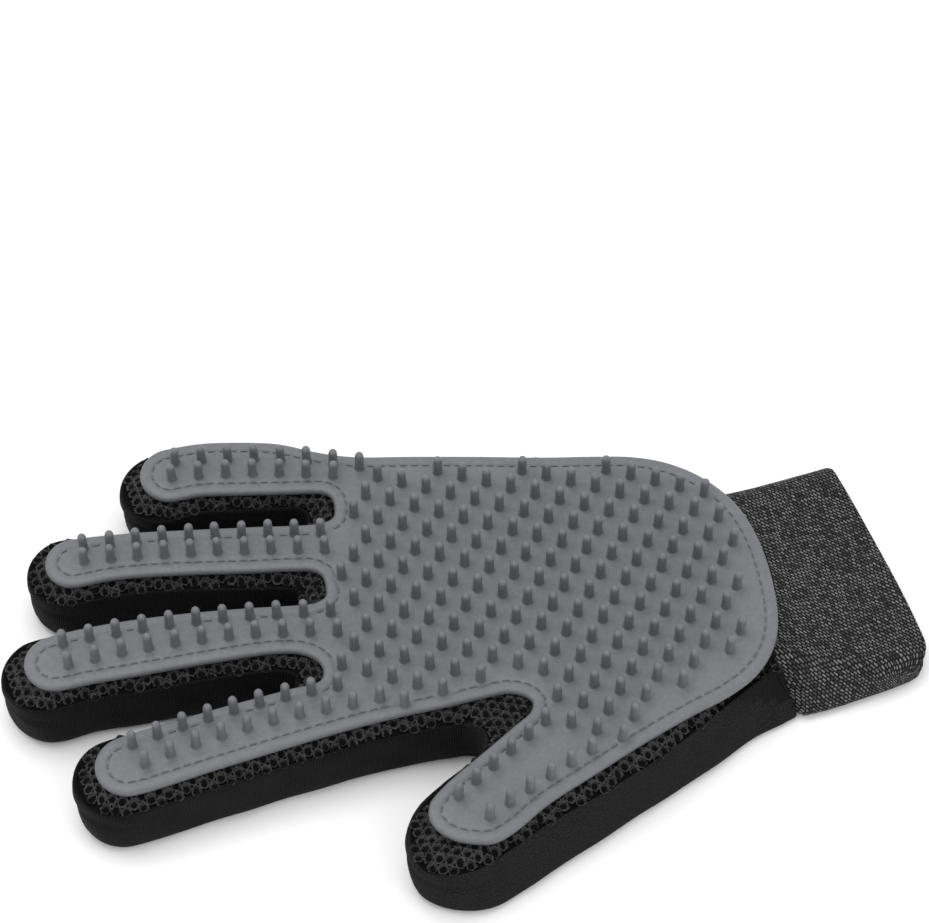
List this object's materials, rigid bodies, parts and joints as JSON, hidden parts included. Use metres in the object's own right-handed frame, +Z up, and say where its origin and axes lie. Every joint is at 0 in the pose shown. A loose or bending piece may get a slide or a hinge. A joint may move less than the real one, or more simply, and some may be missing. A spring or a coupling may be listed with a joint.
{
  "type": "grooming glove",
  "caption": "Left-hand pet grooming glove, lying palm up: silicone pad with rows of soft nubs, air-mesh and knit body, wide elastic cuff, flexing digits.",
  "frame": {"origin": "centre of the glove's box in plan, on the surface that the back of the hand rests on", "axes": "+Z up out of the palm, the way the nubs point; +X towards the open end of the cuff; the fingers point along -X and the thumb is on the -Y side"},
  "size_m": [0.233, 0.1588, 0.026],
  "materials": {
    "silicone": "satin",
    "mesh": "open air mesh",
    "rib_knit": "fine rib knit",
    "back_knit": "smooth knit",
    "elastic": "woven elastic",
    "thread": "sewing thread"
  },
  "bodies": {
    "hand": {"palm_pad": "silicone", "palm_nubs": "silicone", "palm_thread": "thread", "palm_mesh": "mesh", "palm_back": "back_knit", "little_side_strip": "rib_knit", "thumb_side_strip": "rib_knit", "web_strips": "rib_knit"},
    "little_near": {"little_near_pad": "silicone", "little_near_thread": "thread", "little_near_mesh": "mesh", "little_near_side": "rib_knit", "little_near_back": "back_knit"},
    "little_far": {"little_far_pad": "silicone", "little_far_thread": "thread", "little_far_mesh": "mesh", "little_far_side": "rib_knit", "little_far_back": "back_knit"},
    "ring_near": {"ring_near_pad": "silicone", "ring_near_thread": "thread", "ring_near_mesh": "mesh", "ring_near_side": "rib_knit", "ring_near_back": "back_knit"},
    "ring_far": {"ring_far_pad": "silicone", "ring_far_thread": "thread", "ring_far_mesh": "mesh", "ring_far_side": "rib_knit", "ring_far_back": "back_knit"},
    "middle_near": {"middle_near_pad": "silicone", "middle_near_thread": "thread", "middle_near_mesh": "mesh", "middle_near_side": "rib_knit", "middle_near_back": "back_knit"},
    "middle_far": {"middle_far_pad": "silicone", "middle_far_thread": "thread", "middle_far_mesh": "mesh", "middle_far_side": "rib_knit", "middle_far_back": "back_knit"},
    "index_near": {"index_near_pad": "silicone", "index_near_thread": "thread", "index_near_mesh": "mesh", "index_near_side": "rib_knit", "index_near_back": "back_knit"},
    "index_far": {"index_far_pad": "silicone", "index_far_thread": "thread", "index_far_mesh": "mesh", "index_far_side": "rib_knit", "index_far_back": "back_knit"},
    "thumb_near": {"thumb_near_pad": "silicone", "thumb_near_thread": "thread", "thumb_near_mesh": "mesh", "thumb_near_side": "rib_knit", "thumb_near_back": "back_knit"},
    "thumb_far": {"thumb_far_pad": "silicone", "thumb_far_thread": "thread", "thumb_far_mesh": "mesh", "thumb_far_side": "rib_knit", "thumb_far_back": "back_knit"},
    "cuff": {"wrist_seam": "thread", "cuff_band": "elastic"}
  },
  "joints": [
    {"name": "little_knuckle", "type": "hinge", "parent": "hand", "child": "little_near", "pos_m": [-0.03236, 0.05736, 0.0205], "axis": [0.3235, 0.9462, 0], "range_deg": [-10, 50], "stiffness_Nm_per_rad": 0.02},
    {"name": "little_middle_joint", "type": "hinge", "parent": "little_near", "child": "little_far", "pos_m": [-0.04583, 0.06196, 0.0205], "axis": [0.3235, 0.9462, 0], "range_deg": [0, 50], "stiffness_Nm_per_rad": 0.02},
    {"name": "ring_knuckle", "type": "hinge", "parent": "hand", "child": "ring_near", "pos_m": [-0.04278, 0.03338, 0.0205], "axis": [0.2644, 0.9644, 0], "range_deg": [-10, 50], "stiffness_Nm_per_rad": 0.02},
    {"name": "ring_middle_joint", "type": "hinge", "parent": "ring_near", "child": "ring_far", "pos_m": [-0.06296, 0.03892, 0.0205], "axis": [0.2644, 0.9644, 0], "range_deg": [0, 50], "stiffness_Nm_per_rad": 0.02},
    {"name": "middle_knuckle", "type": "hinge", "parent": "hand", "child": "middle_near", "pos_m": [-0.05492, 0.00868, 0.0205], "axis": [0.1798, 0.9837, 0], "range_deg": [-10, 50], "stiffness_Nm_per_rad": 0.02},
    {"name": "middle_middle_joint", "type": "hinge", "parent": "middle_near", "child": "middle_far", "pos_m": [-0.0754, 0.01243, 0.0205], "axis": [0.1798, 0.9837, 0], "range_deg": [0, 50], "stiffness_Nm_per_rad": 0.02},
    {"name": "index_knuckle", "type": "hinge", "parent": "hand", "child": "index_near", "pos_m": [-0.05247, -0.01952, 0.0205], "axis": [0.0232, 0.9997, 0], "range_deg": [-10, 45], "stiffness_Nm_per_rad": 0.02},
    {"name": "index_middle_joint", "type": "hinge", "parent": "index_near", "child": "index_far", "pos_m": [-0.07288, -0.01905, 0.0205], "axis": [0.0232, 0.9997, 0], "range_deg": [0, 45], "stiffness_Nm_per_rad": 0.02},
    {"name": "thumb_knuckle", "type": "hinge", "parent": "hand", "child": "thumb_near", "pos_m": [-0.0005, -0.05496, 0.0205], "axis": [-0.3673, 0.9301, 0], "range_deg": [-10, 40], "stiffness_Nm_per_rad": 0.02},
    {"name": "thumb_middle_joint", "type": "hinge", "parent": "thumb_near", "child": "thumb_far", "pos_m": [-0.01222, -0.05959, 0.0205], "axis": [-0.3673, 0.9301, 0], "range_deg": [0, 40], "stiffness_Nm_per_rad": 0.02},
    {"name": "wrist_fold", "type": "hinge", "parent": "hand", "child": "cuff", "pos_m": [0.0831, -0.0175, 0.0205], "axis": [-0.1161, -0.9932, 0], "range_deg": [-10, 40], "stiffness_Nm_per_rad": 0.03}
  ]
}
